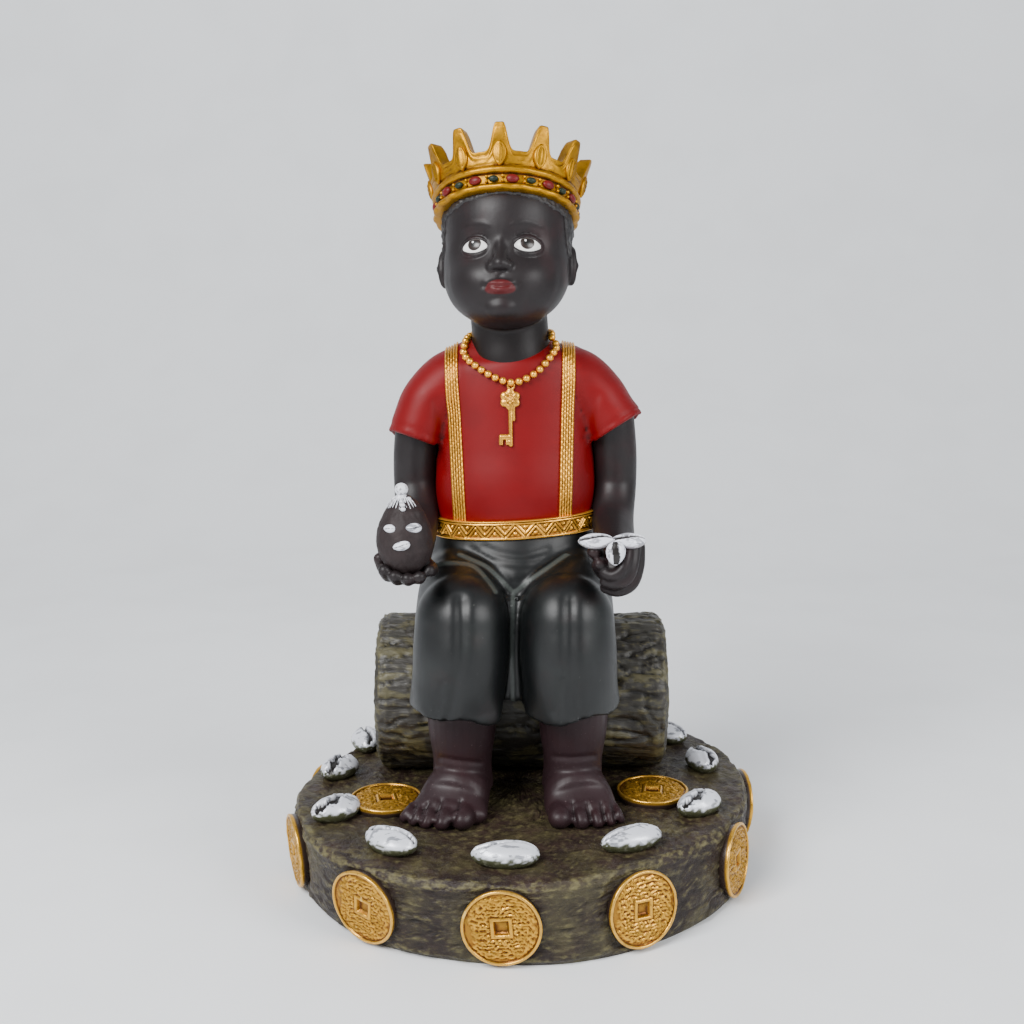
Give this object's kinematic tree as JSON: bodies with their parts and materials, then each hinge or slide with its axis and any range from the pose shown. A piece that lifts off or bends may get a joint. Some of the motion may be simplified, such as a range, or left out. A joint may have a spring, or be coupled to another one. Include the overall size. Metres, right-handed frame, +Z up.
{
  "type": "seated child figure statue",
  "caption": "Painted resin statue of a seated, crowned child on a log, holding a small egg-shaped head and cowrie shells, on a round plinth set with coins and shells.",
  "frame": {"origin": "centre of the plinth's flat underside, on the surface it stands on", "axes": "+Z up, through the crown; the figure faces -Y; +X is the figure's left, on the viewer's right"},
  "size_m": [0.1818, 0.1788, 0.2801],
  "materials": {
    "plinth_resin": "dark brown painted resin with an olive dry-brush on its rough edges",
    "figure_resin": "satin painted resin: dark skin, red shirt, black trousers, gold crown, belt, braces, beads and key"
  },
  "bodies": {
    "root": {"plinth": "plinth_resin", "seated_figure": "figure_resin"}
  },
  "joints": []
}
